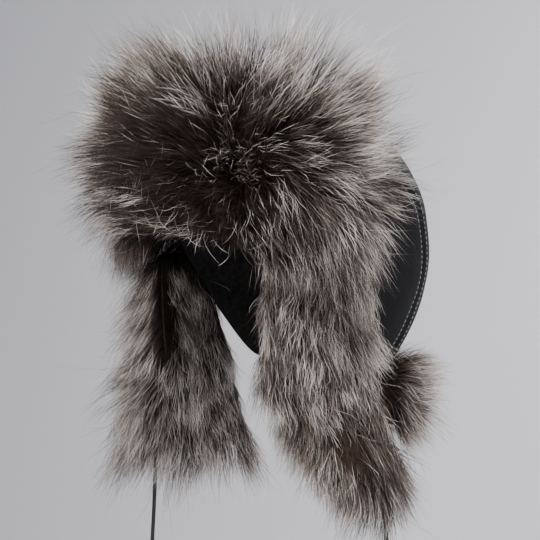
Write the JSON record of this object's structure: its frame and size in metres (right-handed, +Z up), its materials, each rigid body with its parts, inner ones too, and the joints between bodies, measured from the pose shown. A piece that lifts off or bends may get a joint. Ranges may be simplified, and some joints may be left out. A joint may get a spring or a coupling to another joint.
{
  "type": "fur trapper hat",
  "caption": "Trapper hat with a leather crown, a tall turned-up fur brim, long fur ear flaps, a fur nape flap and hanging tie cords.",
  "frame": {"origin": "inside of the crown's top, on its centre line, where the head carries the hat", "axes": "+Z up, the front faces -Y, +X is the wearer's left"},
  "size_m": [0.2779, 0.2691, 0.4924],
  "materials": {
    "crown_leather": "matte black with a soft sheen",
    "fox_fur": "deep silver fox fur, dark at the root and silver towards the tips",
    "cord_leather": "satin black"
  },
  "bodies": {
    "root": {"crown_centre_panel": "crown_leather", "crown_side_left": "crown_leather", "crown_side_right": "crown_leather", "brim_fur": "fox_fur", "ear_flap_left": "fox_fur", "ear_flap_right": "fox_fur", "nape_flap": "fox_fur", "tie_cord_left": "cord_leather", "tie_cord_right": "cord_leather", "tie_knot_left": "cord_leather", "tie_knot_right": "cord_leather"}
  },
  "joints": []
}
